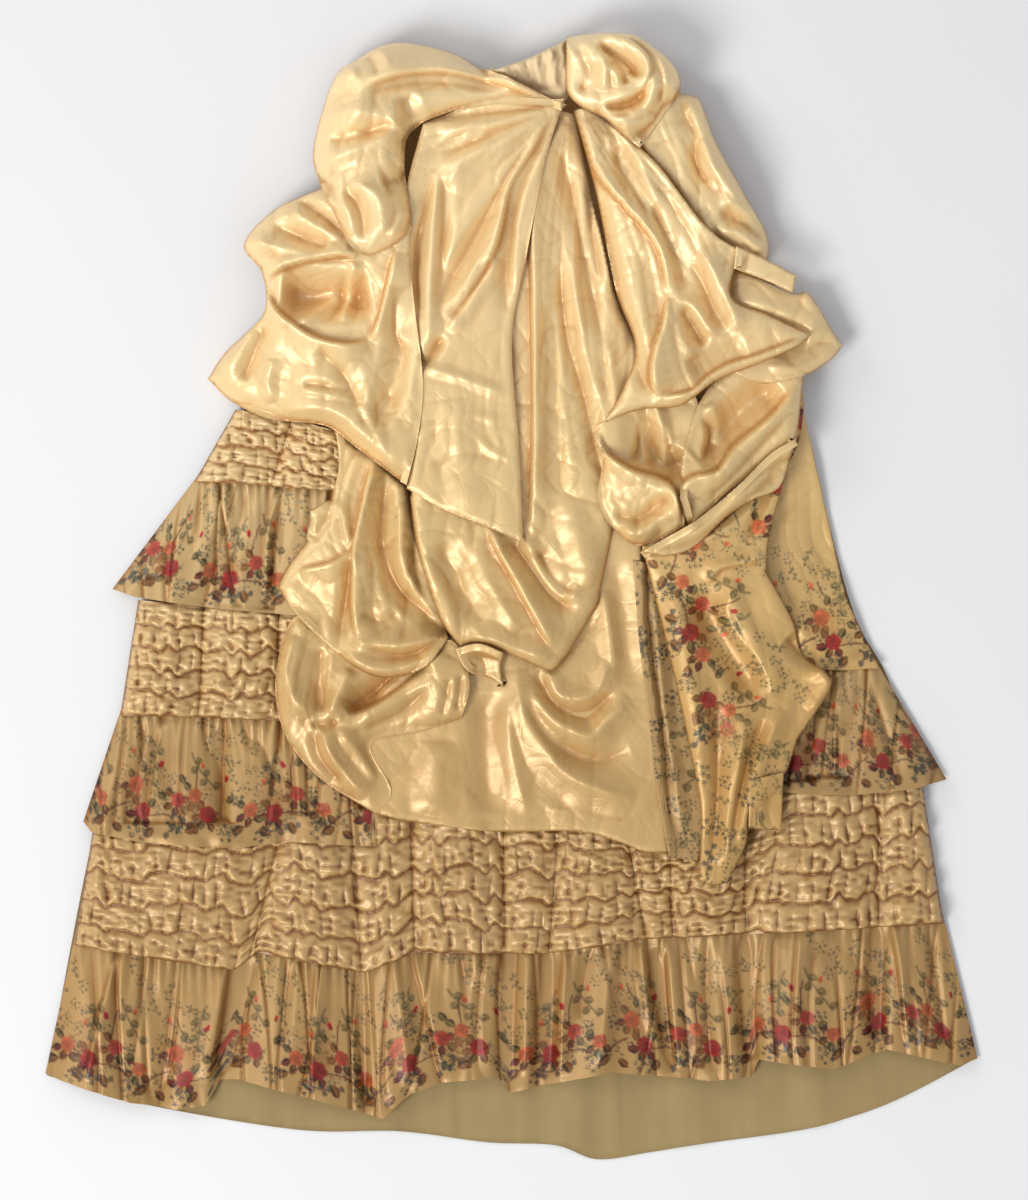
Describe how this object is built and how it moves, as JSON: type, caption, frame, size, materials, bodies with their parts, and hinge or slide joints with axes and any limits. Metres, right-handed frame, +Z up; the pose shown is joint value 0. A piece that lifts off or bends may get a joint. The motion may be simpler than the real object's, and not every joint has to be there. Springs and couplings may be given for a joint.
{
  "type": "bustle dress skirt with drapery, laid flat",
  "caption": "Satin bustle dress skirt laid flat: looped and puffed drapery over shirred bands and printed flounces.",
  "frame": {"origin": "centre of the bounding box on the surface that the garment lies on", "axes": "+X to the viewer's right, +Y from the hem towards the waist, +Z up from the surface"},
  "size_m": [0.931, 1.1148, 0.0948],
  "materials": {
    "satin": "golden ivory satin",
    "printed_satin": "ivory satin printed with small roses",
    "lining": "plain beige cotton",
    "hook_metal": "dark japanned wire"
  },
  "bodies": {
    "root": {"apron_hem_panel": "satin", "back_panel": "lining", "centre_drape": "satin", "cuff_flap": "satin", "facing_strip": "printed_satin", "flap_band": "satin", "floral_drape": "printed_satin", "front_fan": "satin", "front_panel": "lining", "hidden_layers": "lining", "hook_left": "hook_metal", "hook_right": "hook_metal", "knot": "satin", "left_swag": "satin", "lower_band": "satin", "lower_flounce": "printed_satin", "lower_left_loop": "satin", "middle_band_left": "satin", "middle_flounce_left": "printed_satin", "middle_flounce_right": "printed_satin", "puff_lower_left": "satin", "puff_upper_left": "satin", "right_back_piece": "satin", "right_drape": "satin", "right_side_panel": "printed_satin", "right_wing": "satin", "sash_band": "satin", "square_flap": "printed_satin", "swag_left": "satin", "swag_right": "satin", "upper_band_left": "satin", "upper_flounce_left": "printed_satin", "waistband": "lining"}
  },
  "joints": []
}
